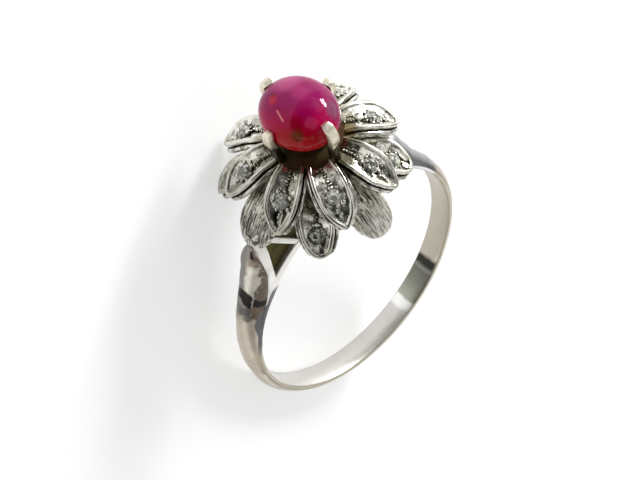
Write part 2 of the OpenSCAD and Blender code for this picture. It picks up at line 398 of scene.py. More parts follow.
def white_gold(name, light, patch, rough, wear_and_painted_shade=None, smudges=(), crevices=True, hollows=False, relief=0.012):
    """Worn white gold: dull patches, small lumps, olive tarnish and painted shade in hollows, and soot and
    painted shade in crevices.
    """
    f = Finish(bpy.data.materials.new(name))
    place = f.place()
    cloud = f.noise(place, 600, 4, 0.6)
    grain = f.noise(place, 3200, 3, 0.6)
    colour = f.mix(cloud.ramp(0.40, 0.66), light, patch)
    # Each part's own marks, with painted shade and painted reflections among them.
    if wear_and_painted_shade:
        colour = wear_and_painted_shade(f, place, colour)
    roughness = rough + grain * 0.16 + cloud * 0.10
    ragged = (grain - 0.5) * 0.7
    # Olive tarnish and painted shade where something stands near.
    if hollows:
        olive_and_shade = f.hollow(1.5, 1.15, ragged, 0.36, 0.85)
        colour = f.mix(olive_and_shade, colour, OLIVE)
        roughness = roughness + olive_and_shade * 0.2
    # Soot and painted shade in crevices.
    if crevices:
        colour = f.mix(f.hollow(0.24, 1.2, ragged, 0.42, 0.80), colour, SOOT_AND_SHADE)
    colour = stains(f, place, colour, smudges)
    lumps = f.noise(place, 1500, 2) * 0.8 + grain * 0.35
    f.set(Base_Color=colour, Metallic=1.0, Roughness=roughness, Normal=f.bump(lumps, 0.7, relief * MM * 3))
    return f.material


def cut_gold(smudges):
    """Petal metal: bright smooth rims, and a hammered field with dark cuts inside them, with painted shade
    on the flower's left and in wedges by the tips, and olive tarnish and soot with painted shade in hollows
    and crevices.
    """
    rim_light, rim_dull, root_brown = (0.87, 0.855, 0.79), (0.58, 0.565, 0.47), (0.16, 0.14, 0.075)
    cut_dark, cut_light, wedge_shade_black = (0.15, 0.145, 0.10), (0.93, 0.92, 0.85), (0.035, 0.032, 0.02)
    left_shade_grey = (0.13, 0.125, 0.09)
    f = Finish(bpy.data.materials.new("cut_gold"))
    place = f.place()
    level = f.split(f.node("UVMap", {"uv_map": "level"}).value(0))[0]
    along, across, _ = f.split(f.node("UVMap", {"uv_map": "flat"}).value(0))
    beside = across.size()
    field = level.ramp(-0.07, -0.16) * (1 - level.ramp(-0.50, -0.56))
    grain = f.noise(place, 3000, 3, 0.6)
    cloud = f.noise(place, 900, 3, 0.6)
    cuts = f.cells(place, 2700)
    ragged = (grain - 0.5) * 0.8
    colour = f.mix(cloud.ramp(0.42, 0.62), rim_light, rim_dull)
    colour = f.mix(field * 0.65, colour, f.mix(cuts.ramp(0.2, 0.8), cut_dark, cut_light))
    colour = f.mix((1 - (along + ragged).ramp(0.2, 1.5)) * 0.7, colour, root_brown)
    # Painted shade: the petals on the flower's left are greyer.
    left = 1 - (f.drawn(place)[0] + cloud).ramp(-4.3, -1.3)
    colour = f.mix(left * 0.42, colour, left_shade_grey)
    # Painted shade in wedges on both sides of each petal's tip.
    wedge_shade = (along + ragged * 0.5).ramp(2.9, 3.15) * (1 - (along + beside).ramp(4.0, 4.3))
    wedge_shade = wedge_shade * beside.ramp(0.08, 0.2) * (1 - (beside + along * 0.25 + ragged * 0.2).ramp(1.22, 1.36))
    colour = f.mix(wedge_shade * cloud.ramp(0.36, 0.52), colour, wedge_shade_black)
    # Olive tarnish and painted shade in hollows.
    olive_and_shade = f.hollow(1.6, 1.1, ragged, 0.58, 1.0)
    colour = f.mix(olive_and_shade * 0.8, colour, OLIVE)
    colour = stains(f, place, colour, smudges)
    # Soot and painted shade in crevices.
    colour = f.mix(f.hollow(0.15, 1.2, ragged * 0.8, 0.50, 0.82), colour, SOOT_AND_SHADE)
    lumps = f.noise(place, 1300, 2) * 0.5 + cuts * field * 1.2 + grain * 0.25
    f.set(Base_Color=colour, Metallic=1.0, Roughness=0.12 + grain * 0.14 + olive_and_shade * 0.2,
          Normal=f.bump(lumps, 0.8, 0.045 * MM))
    return f.material


def satin_gold():
    """Petal metal with the graver's fine lines along the leaf, dull at the root and pale at the tip, with
    painted shade on the leaves at the left, a painted sheen towards the tip, and olive tarnish and soot with
    painted shade in hollows and crevices.
    """
    root_dark, tip_dark, stroke_light = (0.05, 0.046, 0.026), (0.50, 0.475, 0.39), (0.90, 0.87, 0.76)
    left_shade_dark, left_shade_light, streak_black = (0.014, 0.013, 0.008), (0.56, 0.545, 0.48), (0.03, 0.028, 0.018)
    sheen_dark, sheen_light = (0.40, 0.385, 0.33), (1.0, 0.98, 0.93)
    f = Finish(bpy.data.materials.new("satin_gold"))
    place = f.place()
    flat = f.place("UV")
    lines = f.noise(f.stretch(flat, (0.14, 1.0, 1.0)), 7.5, 3, 0.75)
    fine = f.noise(f.stretch(flat, (0.07, 1.0, 1.0)), 20.0, 2, 0.6)
    along = f.split(flat)[0]
    worn = f.noise(place, 500, 2, 0.5) - 0.5
    tip = (along + worn * 2.0).ramp(2.4, 4.2)
    strokes = (lines * 0.65 + fine * 0.35).ramp(0.465, 0.525)
    # Painted shade: leaves at the ring's left are darker.
    left = 1 - (f.drawn(place)[0] + worn).ramp(-5.4, -3.4)
    colour = f.mix(strokes, f.mix(tip, root_dark, tip_dark), stroke_light)
    colour = f.mix(left, colour, f.mix(strokes, left_shade_dark, left_shade_light))
    streaks = f.noise(f.stretch(flat, (0.5, 1.0, 1.0)), 1.1, 2, 0.5).ramp(0.55, 0.40)
    colour = f.mix(streaks * (0.25 + left * 0.5), colour, streak_black)
    # Painted sheen: brighter towards the tip.
    painted_sheen = (along + (f.noise(place, 420, 2, 0.5) - 0.5) * 5.0).ramp(2.9, 4.5)
    painted_sheen = painted_sheen * (0.85 - left * 0.45)
    colour = f.mix(painted_sheen, colour, f.mix(strokes, sheen_dark, sheen_light))
    # Olive tarnish and painted shade in hollows, then soot and painted shade in crevices.
    colour = f.mix(f.hollow(1.3, 1.1, (fine - 0.5) * 0.7, 0.45, 0.85), colour, OLIVE)
    colour = f.mix(f.hollow(0.2, 1.2, (fine - 0.5) * 0.5, 0.45, 0.8), colour, SOOT_AND_SHADE)
    f.set(Base_Color=colour, Metallic=1.0, Roughness=0.28 + fine * 0.12,
          Normal=f.bump(lines * 0.7 + fine * 0.5, 0.9, 0.05 * MM))
    return f.material


def ruby_finish(top, bottom, thread, marks_and_reflections):
    """Milky ruby: clear red below and magenta above as painted light, with a thread and specks inside,
    painted highlights and reflections among its marks, and a faint painted glow.
    """
    low_red, middle_red = (0.28, 0.0, 0.003), (0.33, 0.002, 0.052)
    top_magenta, thread_pale = (0.215, 0.005, 0.076), (0.80, 0.30, 0.28)
    f = Finish(bpy.data.materials.new("ruby"))
    place = f.place()
    way = (top - bottom).normalized()
    silk = (f.noise(place, 500, 3) - 0.5) * 0.5
    share = f.along(place, bottom, way) / (top - bottom).length + silk
    # Painted light: clear red low in the stone turning magenta above.
    colour = f.mix(share.ramp(0.05, 0.42), low_red, middle_red)
    colour = f.mix(share.ramp(0.35, 0.80), colour, top_magenta)
    for point, radius, tint, strength in marks_and_reflections:
        near = 1 - (f.away(place, point) / (radius * MM) + silk * 0.8).ramp(0.3, 1.0)
        colour = f.mix(near * strength, colour, tint)
    on_thread = 1 - (f.off_line(place, *thread) + silk * 0.1).ramp(0.03, 0.10)
    colour = f.mix(on_thread * 0.55, colour, thread_pale)
    # The stone glows faintly with its own colour: painted light.
    f.set(Base_Color=colour, Roughness=0.03, IOR=1.45, Specular_IOR_Level=0.2,
          Emission_Color=colour, Emission_Strength=0.15,
          Subsurface_Weight=0.1, Subsurface_Radius=(1.0, 0.1, 0.2), Subsurface_Scale=0.6 * MM)
    return f.material


def diamond_finish():
    """Small brilliants with the light and dark of their facets painted in greys: each facet shows its own
    grey, with painted glints and painted dark lines.
    """
    dark, light = (0.08, 0.083, 0.06), (0.42, 0.42, 0.345)
    painted_glint, painted_dark_line = (0.9, 0.9, 0.88), (0.03, 0.03, 0.025)
    f = Finish(bpy.data.materials.new("diamond"))
    place = f.place()
    facet = f.cells(place, 4200)
    fine = f.cells(place, 8500)
    grey = f.mix(facet.ramp(0.25, 0.75), dark, light)
    # Painted glints and painted dark lines among the facets.
    grey = f.mix(fine.ramp(0.84, 0.97), grey, painted_glint)
    grey = f.mix(fine.ramp(0.22, 0.10), grey, painted_dark_line)
    f.set(Base_Color=grey, Roughness=0.06, IOR=2.0, Normal=f.bump(facet + fine * 0.5, 0.5, 0.03 * MM))
    return f.material


# Making pieces

FULL_TURN = 2 * math.pi
# Points nearer than this are one, in millimetres
MERGE = 1e-5


def verts_of(geom):
    return [v for v in geom if isinstance(v, bmesh.types.BMVert)]


def loft(loops):
    """A mesh drawn through loops of one point count, open at both ends."""
    bm = bmesh.new()
    ring = bmesh.ops.create_circle(bm, segments=len(loops[0]), radius=1)["verts"]
    for vert, point in zip(ring, loops[0]):
        vert.co = point
    for points in loops[1:]:
        around = [bm.edges.get((ring[k - 1], ring[k])) for k in range(len(ring))]
        made = set(verts_of(bmesh.ops.extrude_edge_only(bm, edges=around)["geom"]))
        ring = [next(e.other_vert(v) for e in v.link_edges if e.other_vert(v) in made) for v in ring]
        for vert, point in zip(ring, points):
            vert.co = point
    return bm


def close(bm):
    """Merges what meets, fills what is open and turns the faces outwards."""
    bmesh.ops.remove_doubles(bm, verts=bm.verts, dist=MERGE)
    edges = [e for e in bm.edges if e.is_boundary]
    if edges:
        bmesh.ops.holes_fill(bm, edges=edges, sides=0)
    bmesh.ops.recalc_face_normals(bm, faces=bm.faces)
    return bm


def mesh_of(name, bm):
    mesh = bpy.data.meshes.new(name)
    bm.to_mesh(mesh)
    bm.free()
    return mesh


def put(name, data):
    """A new object in the scene."""
    made = bpy.data.objects.new(name, data)
    bpy.context.scene.collection.objects.link(made)
    return made


def piece(name, bm, material, place=LAID, stands_for=(), sharp=40):
    """Puts a finished mesh in its place in the frame, as one named piece; sharp is in degrees."""
    bm.transform(place)
    mesh = mesh_of(name, bm)
    mesh.shade_smooth()
    mesh.set_sharp_from_angle(angle=math.radians(sharp))
    mesh.materials.append(material)
    made = put(name, mesh)
    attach(made, "root")
    if stands_for:
        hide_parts(*stands_for)


def join(bm, other):
    """Adds another mesh to this one."""
    mesh = mesh_of("part", other)
    bm.from_mesh(mesh)
    bpy.data.meshes.remove(mesh)


def turned(angle):
    """The upright head's place in the frame, turned round the ruby's axis."""
    return LAID @ HEAD @ Matrix.Rotation(angle, 4, "Z")


# Band and shoulders

def spun(outline, start=0.0, sweep=FULL_TURN, steps=192):
    """An outline of (radius, height) turned round the finger's axis."""
    bm = bmesh.new()
    ring = bmesh.ops.create_circle(bm, segments=len(outline), radius=1)["verts"]
    for vert, (radius, height) in zip(ring, outline):
        vert.co = (radius * math.cos(start), radius * math.sin(start), height)
    full = sweep == FULL_TURN
    if not full:
        bmesh.ops.contextual_create(bm, geom=ring)
    bmesh.ops.spin(bm, geom=bm.verts[:] + bm.edges[:] + bm.faces[:], cent=(0, 0, 0), axis=(0, 0, 1),
                   angle=sweep, steps=steps, use_merge=full)
    return close(bm)


def band_outline():
    """Section of the band: flat inside, with softened edges, and a half-round outside."""
    half = BAND_W / 2
    chamfer = 0.09
    outside_points = 15
    rise = BAND_T - EDGE_T
    arc = (half * half + rise * rise) / (2 * rise)
    reach = math.asin(half / arc)
    points = [(HOLE_R, -half + chamfer), (HOLE_R, 0), (HOLE_R, half - chamfer), (HOLE_R + 0.04, half - 0.02),
              (HOLE_R + chamfer, half)]
    for k in range(outside_points):
        a = reach * (1 - 2 * k / (outside_points - 1))
        points.append((CROWN_R - arc + arc * math.cos(a), arc * math.sin(a)))
    points += [(HOLE_R + chamfer, -half), (HOLE_R + 0.04, -half + 0.02)]
    return points


def arm_outline():
    """Section of the inner arm: a bar with softened edges."""
    half = BAND_W / 2 + SKIN / 2
    edge = 0.05
    inner = HOLE_R - SKIN
    return [(inner, -half + edge), (inner, half - edge), (inner + edge, half), (ARM_R - edge, half),
            (ARM_R, half - edge), (ARM_R, -half + edge), (ARM_R - edge, -half), (inner + edge, -half)]


def inner_arm():
    """Arm along the finger hole under the head, thinner where it grows out of the band."""
    first, thinned = 30, 12
    bm = spun(arm_outline(), math.radians(first), math.radians(180 - 2 * first), 60)
    thin = HOLE_R + EDGE_T - 0.05
    for vert in bm.verts:
        past_end = math.degrees(math.atan2(vert.co.y, abs(vert.co.x))) - first
        most = thin + (ARM_R - thin) * min(1, max(0, past_end / thinned))
        reach = vert.co.xy.length
        if reach > most:
            vert.co.xy *= most / reach
    return bm


def hole_edge():
    """Corners of a fork along the finger hole, from the band upwards."""
    reach = HOLE_R + 3 * SKIN
    return [(-reach * math.cos(math.radians(a)), reach * math.sin(math.radians(a)))
            for a in (12.5, 18, 23.5, 29, 34.5, 40, 44.5)]


# Both shoulders are drawn on the left. A shoulder is an arc with a radius, a first angle and a top height
# rows: at heights above the middle of the finger hole, how far the crown swells and how deep it is
# web: outline of the fork; proud: how far its near face stands above the band's
Shoulder = namedtuple("Shoulder", "arc start top rows web proud")
LEFT = Shoulder(
    arc=16.5, start=math.radians(6), top=9.6, proud=0.08,
    rows=((-1.0, 0, 0.35), (2.07, 0, 0.66), (4.73, 0, 1.3), (6.24, -0.04, 1.74), (7.32, -0.08, 1.62),
          (8.59, 0.0, 1.35), (9.6, 0.2, 1.1)),
    web=((-5.63, 6.39), (-5.72, 7.2), (-5.62, 9.9), (-5.5, 11.3), (-6.12, 11.25), (-6.32, 9.95),
         (-6.22, 7.94), (-6.54, 6.70), (-6.90, 5.73), (-7.8, 4.5), (-8.72, 2.1)))
RIGHT = Shoulder(
    arc=32.0, start=math.radians(-17), top=9.1, proud=0,
    rows=((2.0, -0.05, 0.7), (4.3, -0.10, 1.0), (5.4, -0.24, 1.1), (6.3, -0.33, 1.2), (7.6, -0.22, 1.2),
          (9.1, 0.0, 1.2)),
    web=((-5.63, 6.39), (-4.95, 7.6), (-4.9, 10.3), (-5.3, 10.5), (-5.5, 9.6), (-6.0, 8.0), (-6.6, 6.6),
         (-7.5, 4.8), (-8.28, 2.75)))
CROWN_LIFT = 0.05
# Depth of a shoulder's inner side, as a share of its outer side's
INNER_SHARE = 0.15
DOME_POINTS = 28
DOME_STEPS = 56
NOSE_STEPS = 12
# A shoulder starts this far inside the band and rises out of it in a few steps
START_SINK = 0.06
START_STEPS = 8
HOLE_CLEAR = 0.06
# The two plates of a fork start this far from the middle of the band's width
FORK_INSIDE = 0.3


def row_at(rows, height):
    """Swell and depth at a height, eased from one row to the next."""
    height = max(height, rows[0][0])
    for low, high in zip(rows, rows[1:]):
        if height <= high[0]:
            share = (height - low[0]) / (high[0] - low[0])
            ease = share * share * (3 - 2 * share)
            return [a + (b - a) * ease for a, b in zip(low[1:], high[1:])]
    return rows[-1][1:]


def dome_loop(centre, crown, angle, depth, half=SHOULDER_W / 2):
    """Half-oval section of a shoulder across its crown line, at an angle round a centre."""
    loop = []
    for k in range(DOME_POINTS):
        a = FULL_TURN * k / DOME_POINTS
        reach = crown - depth + depth * math.cos(a) * (1 if math.cos(a) > 0 else INNER_SHARE)
        loop.append((centre[0] + reach * math.cos(angle), centre[1] + reach * math.sin(angle),
                     half * math.sin(a)))
    return loop


def shoulder_dome(s):
    """Rounded outer part of a shoulder: the long arc, then the nose under the leaf."""
    offset = s.arc - CROWN_R - CROWN_LIFT
    centre = (offset * math.cos(s.start), offset * math.sin(s.start))
    last = math.asin((s.top - centre[1]) / s.arc)
    loops = []
    for k in range(DOME_STEPS + 1):
        angle = math.pi + s.start - (last + s.start) * k / DOME_STEPS
        swell, depth = row_at(s.rows, centre[1] + s.arc * math.sin(angle))
        sink = START_SINK * max(0, 1 - k / START_STEPS)
        loops.append(dome_loop(centre, s.arc + swell - sink, angle, depth, SHOULDER_W / 2 - sink))
    middle = s.arc + swell - depth
    nose = (centre[0] + middle * math.cos(math.pi - last), centre[1] + middle * math.sin(math.pi - last))
    for k in range(1, NOSE_STEPS + 1):
        angle = math.pi - last - math.radians(90) * k / NOSE_STEPS
        loops.append(dome_loop(nose, depth, angle, depth))
    bm = close(loft(loops))
    nearest = HOLE_R + HOLE_CLEAR
    for vert in bm.verts:
        reach = vert.co.xy.length
        if reach < nearest:
            vert.co.xy *= nearest / reach
    return bm


def plate(corners, low, high, rim):
    """A flat outline given a thickness, its rims broken."""
    bm = bmesh.new()
    face = bm.faces.new([bm.verts.new((x, y, low)) for x, y in corners])
    made = bmesh.ops.extrude_face_region(bm, geom=[face])["geom"]
    bmesh.ops.translate(bm, vec=(0, 0, high - low), verts=verts_of(made))
    bmesh.ops.recalc_face_normals(bm, faces=bm.faces)
    rims = [e for e in bm.edges if abs(e.verts[0].co.z - e.verts[1].co.z) < MERGE]
    bmesh.ops.bevel(bm, geom=rims, offset=rim, segments=2, profile=0.5, affect="EDGES", material=-1)
    return close(bm)


def sunk(bm, slope, start):
    """Slopes a fork's top inwards from a height on, to meet the leaf."""
    most = 0.6
    for vert in bm.verts:
        drop = slope * max(0, vert.co.y - start)
        vert.co.z -= math.copysign(min(drop, abs(vert.co.z) * most), vert.co.z)
    return bm


def shoulder_fork(s):
    """Flat narrow forks on both faces, between the inner arm and the upright arm under the leaf."""
    half = BAND_W / 2 + SKIN
    rim = 0.04
    rise_start, rise_length = 3.5, 2.2
    far_top = 10
    web = [*s.web, *hole_edge()]
    bm = sunk(plate(web, FORK_INSIDE, half, rim), 0.7, 10.35)
    for vert in bm.verts:
        vert.co.z += s.proud * min(1, max(0, (vert.co.y - rise_start) / rise_length))
    far_web = [corner for corner in web if corner[1] < far_top]
    join(bm, sunk(plate(far_web, -half, -FORK_INSIDE, rim), 0.27, 8))
    return bm


def fork_bar():
    """Bar across the top of the left fork, where the leaf is soldered to it."""
    corners = ((-5.7, 10.75), (-3.2, 7.95), (-2.95, 8.25), (-5.5, 11.1))
    return sunk(plate(corners, 0.25, BAND_W / 2, 0.05), 0.36, 9.9)


def fork_back():
    """Dark olive wall just below the left fork's face, between its two arms: tarnish and painted shade."""
    return plate(((-5.5, 6.9), (-3.0, 8.2), (-3.0, 10.9), (-5.9, 10.9), (-6.0, 7.2)), -0.55, 0.55, 0.03)


def mirrored(bm):
    """A left shoulder's mesh as the right one's."""
    bmesh.ops.scale(bm, vec=(-1, 1, 1), verts=bm.verts)
    bmesh.ops.recalc_face_normals(bm, faces=bm.faces)
    return bm


# Leaves

AROUND = 72
# An outline that goes past its leaf's does so by no more than this at the tip
TIP_REACH = 0.03
ROOT_CORNER = 0.4
# Least size that keeps an outline's maths whole
TINY = 1e-4
# The handwork's noise is the same in each run
noise.seed_set(1)


def leaf_loop(leaf, length, inset, height):
    """Outline of a leaf drawn in by an inset, at a height; height may be a function of x and y."""
    half = leaf.width / 2
    side_y = leaf.sides - half
    nose_x = math.sqrt((leaf.sides - leaf.nose) ** 2 - side_y ** 2)
    centre_x = length - leaf.nose - nose_x
    sides = max(leaf.sides - inset, side_y + TINY)
    nose = leaf.nose - inset
    if nose > 0:
        front = centre_x + (nose_x + min(nose, leaf.nose + TIP_REACH))
    else:
        front = centre_x + math.sqrt(sides ** 2 - side_y ** 2)
    blend = nose_x * sides / (leaf.sides - leaf.nose)
    root_half = leaf.blunt * half
    if inset < root_half:
        back = ROOT_END * (1 - inset / root_half)
    else:
        back = centre_x * (1 - math.sqrt(max(0, (half - inset) / (half - root_half))))
    corner = max(0.05, ROOT_CORNER * (1 - inset / half))
    loop = []
    for k in range(AROUND):
        a = FULL_TURN * k / AROUND
        x = (front + back) / 2 + (front - back) / 2 * math.cos(a)
        if x < centre_x:
            y = half - (half - root_half) * ((centre_x - x) / centre_x) ** 2 - inset
            y *= math.sqrt(max(0, 1 - max(0, 1 - (x - back) / corner) ** 2))
        elif nose > 0 and x - centre_x > blend:
            y = nose * math.sqrt(max(0, 1 - ((x - centre_x - nose_x) / (front - centre_x - nose_x)) ** 2))
        else:
            y = math.sqrt(max(0, sides ** 2 - (x - centre_x) ** 2)) - side_y
        y = math.copysign(max(y, 0), math.sin(a)) if k % (AROUND // 2) else 0.0
        loop.append((x, y, height(x, y) if callable(height) else height))
    return loop


def leaf_length(leaf, stretch):
    return (Vector(leaf.tip) - Vector(leaf.root)).length + stretch


def leaf_axes(leaf, length):
    """A leaf's root, its way to the tip, its outward way and how deep its bend's centre lies."""
    root = Vector((leaf.root[0], 0, leaf.root[1]))
    way = Vector((leaf.tip[0] - leaf.root[0], 0, leaf.tip[1] - leaf.root[1])).normalized()
    return root, way, Vector((-way.z, 0, way.x)), math.sqrt(leaf.bend ** 2 - (length / 2) ** 2)


def keep_flat(bm):
    """Keeps each point's place on the flat leaf, in millimetres, as its UV, and its height as another."""
    flat = bm.loops.layers.uv.new("flat")
    level = bm.loops.layers.uv.new("level")
    for face in bm.faces:
        for corner in face.loops:
            corner[flat].uv = corner.vert.co.xy
            corner[level].uv = (corner.vert.co.z, 0)


def handmade(bm, amount, seed):
    """Small uneven swellings, as a file and a graver leave them."""
    density = 1.3
    shift = Vector((seed * 7.3, seed * 3.1, 0))
    for vert in bm.verts:
        vert.co += noise.noise_vector(vert.co * density + shift) * amount


def bend(bm, leaf, length):
    """Curves a flat leaf and puts it between its root and its tip, in the plane of X and Z."""
    root, way, out, sink = leaf_axes(leaf, length)
    for vert in bm.verts:
        x, y, height = vert.co
        sine = (x - length / 2) / leaf.bend
        cosine = math.sqrt(max(0.05, 1 - sine * sine))
        ring = leaf.bend + height
        vert.co = root + way * (length / 2 + ring * sine) + out * (ring * cosine - sink) + Vector((0, y, 0))


def widen(bm, share, side):
    """Makes one side of a flat leaf wider."""
    for vert in bm.verts:
        if vert.co.y * side > 0:
            vert.co.y *= share


def set_leaf(leaf, stretch, seat, seed, spread=1.0):
    """A base leaf with a raised frame on it, cut inwards to a valley that holds a diamond."""
    length = leaf_length(leaf, stretch)
    seat_x = length * seat
    half = leaf.width / 2
    cut, cut_level, cut_slope = 0.365, -0.16, 0.34
    seat_level, seat_slope = -0.26, 0.9
    steps = 12

    def bowl(inset):
        def height(x, y):
            valley = cut_level - cut_slope * (inset - cut)
            near = math.hypot(x - seat_x, y)
            if near < DIAMOND_R + 0.05:
                return min(valley, seat_level - seat_slope * (DIAMOND_R + 0.02 - near))
            return valley
        return height

    # Inset and height of each outline, from the middle of the underside round both rims to the cut
    rings = [(half, -leaf.thick), (0.5, -leaf.thick), (0.14, -leaf.thick + 0.02), (0.02, -leaf.thick + 0.10),
             (-0.12, -0.68), (-0.17, -0.58), (-0.18, -0.47), (-0.15, -0.39), (-0.09, -0.35), (-0.01, -0.35),
             (0.03, -0.39), (0.045, -0.48), (0.075, -0.48), (0.085, -0.40), (0.065, -0.28), (0.05, -0.16),
             (0.05, -0.07), (0.075, -0.015), (0.13, 0.015), (0.20, 0.015), (0.27, -0.005), (0.32, -0.045),
             (0.34, -0.10)]
    loops = [leaf_loop(leaf, length, inset, height) for inset, height in rings]
    for k in range(steps + 1):
        inset = cut + (half - cut) * k / steps
        loops.append(leaf_loop(leaf, length, inset, bowl(inset)))
    bm = close(loft(loops))
    widen(bm, spread, 1)
    add_beads(bm, seat_x, seed)
    keep_flat(bm)
    handmade(bm, 0.035, seed)
    bend(bm, leaf, length)
    return bm


def add_bead(bm, size, place):
    bead = bmesh.new()
    bmesh.ops.create_icosphere(bead, subdivisions=2, radius=1)
    bmesh.ops.scale(bead, vec=size, verts=bead.verts)
    bmesh.ops.translate(bead, vec=place, verts=bead.verts)
    join(bm, bead)


def add_beads(bm, seat_x, seed):
    """Grains that hold the diamond, small ones beyond it, and the ridge cut at the leaf's root."""
    draw = Random(seed)
    grains = 9
    start = draw.uniform(0, EIGHTH)
    for k in range(grains):
        a = start + FULL_TURN * k / grains + draw.uniform(-0.2, 0.2)
        reach = DIAMOND_R + draw.uniform(0.04, 0.14)
        size = draw.uniform(0.09, 0.17)
        spot = (seat_x + reach * math.cos(a), reach * math.sin(a), draw.uniform(-0.25, -0.17))
        add_bead(bm, (size, size, size * 0.8), spot)
    for k in range(grains):
        x = seat_x + DIAMOND_R + 0.12 + 0.10 * k
        y = draw.uniform(-0.42, 0.42) * (1 - k / (grains + 1))
        size = draw.uniform(0.06, 0.13)
        add_bead(bm, (size * 1.2, size, size), (x, y, -0.33 + 0.15 * abs(y)))
    x = 0.05
    while x < seat_x - DIAMOND_R - 0.12:
        size = draw.uniform(0.07, 0.12)
        add_bead(bm, (size, draw.uniform(0.09, 0.16), 0.13), (x, draw.uniform(-0.08, 0.08), -0.33))
        side = draw.choice((-1, 1)) * draw.uniform(0.25, 0.42)
        add_bead(bm, (size, 0.06, 0.07), (x + 0.1, side, -0.27))
        x += size * 1.9


def satin_leaf(stretch, seed, spread=1.0):
    """A plain leaf; spread widens it on one side."""
    length = leaf_length(SATIN, stretch)
    half = SATIN.width / 2
    edge, curve = 0.07, 0.10

    def crowned(level):
        return lambda x, y: level - curve * y * y

    # Inset and level of each outline, from the underside's middle round the edge to the face's middle
    under = -SATIN.thick
    rings = [(half * (1 - k / 5), under) for k in range(5)]
    rings += [(0.03, under + 0.03), (0.0, under + 0.12), (0.0, -0.1), (0.02, -0.03)]
    rings += [(edge + (half - edge) * k / 8, 0) for k in range(9)]
    bm = close(loft([leaf_loop(SATIN, length, inset, crowned(level)) for inset, level in rings]))
    widen(bm, spread, -1)
    keep_flat(bm)
    handmade(bm, 0.04, seed)
    bend(bm, SATIN, length)
    return bm


# Diamonds

def brilliant():
    """Round brilliant with its main facets, girdle at height 0."""
    bm = bmesh.new()
    crown, girdle, pavilion, table = 0.19, 0.025, 0.46, 0.32
    # Radius, height, count of corners and their turn at each level, from the table down to the point
    levels = [(table, crown + girdle, 8, 0.5), (0.45, crown * 0.52 + girdle, 8, 0.0),
              (DIAMOND_R, girdle, 16, 0.0), (DIAMOND_R, -girdle, 16, 0.0),
              (DIAMOND_R * 0.78, -girdle - pavilion * 0.2, 8, 0.0), (0.02, -girdle - pavilion, 8, 0.0)]
    for radius, height, count, shift in levels:
        for k in range(count):
            a = FULL_TURN * (k + shift) / count
            bm.verts.new((radius * math.cos(a), radius * math.sin(a), height))
    bmesh.ops.convex_hull(bm, input=bm.verts)
    bmesh.ops.dissolve_limit(bm, angle_limit=math.radians(1), verts=bm.verts, edges=bm.edges)
    bmesh.ops.recalc_face_normals(bm, faces=bm.faces)
    return bm


def seat_place(leaf, stretch, seat):
    """Where a diamond's girdle sits on a leaf, in the leaf's plane."""
    girdle_depth = 0.24
    length = leaf_length(leaf, stretch)
    root, way, out, sink = leaf_axes(leaf, length)
    turn = math.asin((seat - 0.5) * length / leaf.bend)
    up = out * math.cos(turn) + way * math.sin(turn)
    side = Vector((0, 1, 0))
    spot = root + way * (length / 2) - out * sink + up * (leaf.bend - girdle_depth)
    turned_axes = Matrix((side.cross(up), side, up)).transposed().to_4x4()
    return Matrix.Translation(spot) @ turned_axes


# Ruby, collet and claws

def ruby():
    """Oval dome with its belly cut flat."""
    bm = bmesh.new()
    bmesh.ops.create_uvsphere(bm, u_segments=96, v_segments=64, radius=1)
    bmesh.ops.scale(bm, vec=(RUBY_ACROSS, RUBY_ALONG, RUBY_DOME), verts=bm.verts)
    bmesh.ops.bisect_plane(bm, geom=bm.verts[:] + bm.edges[:] + bm.faces[:], plane_co=(0, 0, -RUBY_BELLY),
                           plane_no=(0, 0, -1), clear_outer=True)
    bmesh.ops.translate(bm, vec=(0, 0, RUBY_Z), verts=bm.verts)
    return close(bm)


def ring_loop(radius, height, count=48):
    turns = [FULL_TURN * k / count for k in range(count)]
    return [(radius * math.cos(turn), radius * math.sin(turn), height) for turn in turns]


def collet():
    """Stem, gallery that the petals' roots are soldered to, and cup under the ruby."""
    base = RUBY_Z - RUBY_BELLY - STONE_GAP
    foot = ARM_R - 0.15
    floor_of_cup = 14.5
    rings = ((0.9, foot), (1.3, foot), (1.3, 14.0), (2.2, 14.7), (2.45, 15.1), (2.35, 15.45), (1.75, 15.7),
             (1.85, base), (1.4, base), (0.95, floor_of_cup), (0.3, floor_of_cup))
    return close(loft([ring_loop(radius, height) for radius, height in rings]))


def claw(half_size, last):
    """Leg, bend round the ruby's widest level and end folded over it, up to a last angle."""
    first = math.radians(-25)
    reach_in, rise_in = half_size + STONE_GAP, RUBY_DOME + STONE_GAP
    # Inner and outer point and width at each level: first the leg, then the bend with its rounded end
    path = [((half_size - 0.75, 13.4), (half_size - 0.05, 13.5), 0.56),
            ((half_size - 0.55, 14.6), (half_size + 0.08, 14.7), 0.58),
            ((half_size - 0.40, 15.7), (half_size + 0.15, 15.7), 0.62)]
    sections = [(0.48, 0.68)] * 11 + [(0.44, 0.64), (0.30, 0.50)]
    for k, (thick, width) in enumerate(sections):
        a = first + (last - first) * k / (len(sections) - 1)
        reach_out, rise_out = reach_in + thick, rise_in + thick
        path.append(((reach_in * math.cos(a), RUBY_Z + rise_in * math.sin(a)),
                     (reach_out * math.cos(a), RUBY_Z + rise_out * math.sin(a)), width))
    right = [(0.36, 0.02), (0.47, 0.10), (0.5, 0.30), (0.5, 0.74), (0.47, 0.90), (0.40, 0.985), (0.2, 1)]
    left = [(-across, depth) for across, depth in reversed(right)]
    loops = []
    for inner, outer, width in path:
        inner, outer = Vector(inner), Vector(outer)
        loop = []
        for across, depth in (left[-1], *right, *left[:-1]):
            spot = inner + (outer - inner) * depth
            loop.append((spot[0], across * width, spot[1]))
        loops.append(loop)
    bm = close(loft(loops))
    handmade(bm, 0.015, half_size)
    return bm


# Building the ring

def on_ring(x, y, z):
    """A point of the flat drawing, in the frame."""
    return LAID @ Vector((x, y, z))


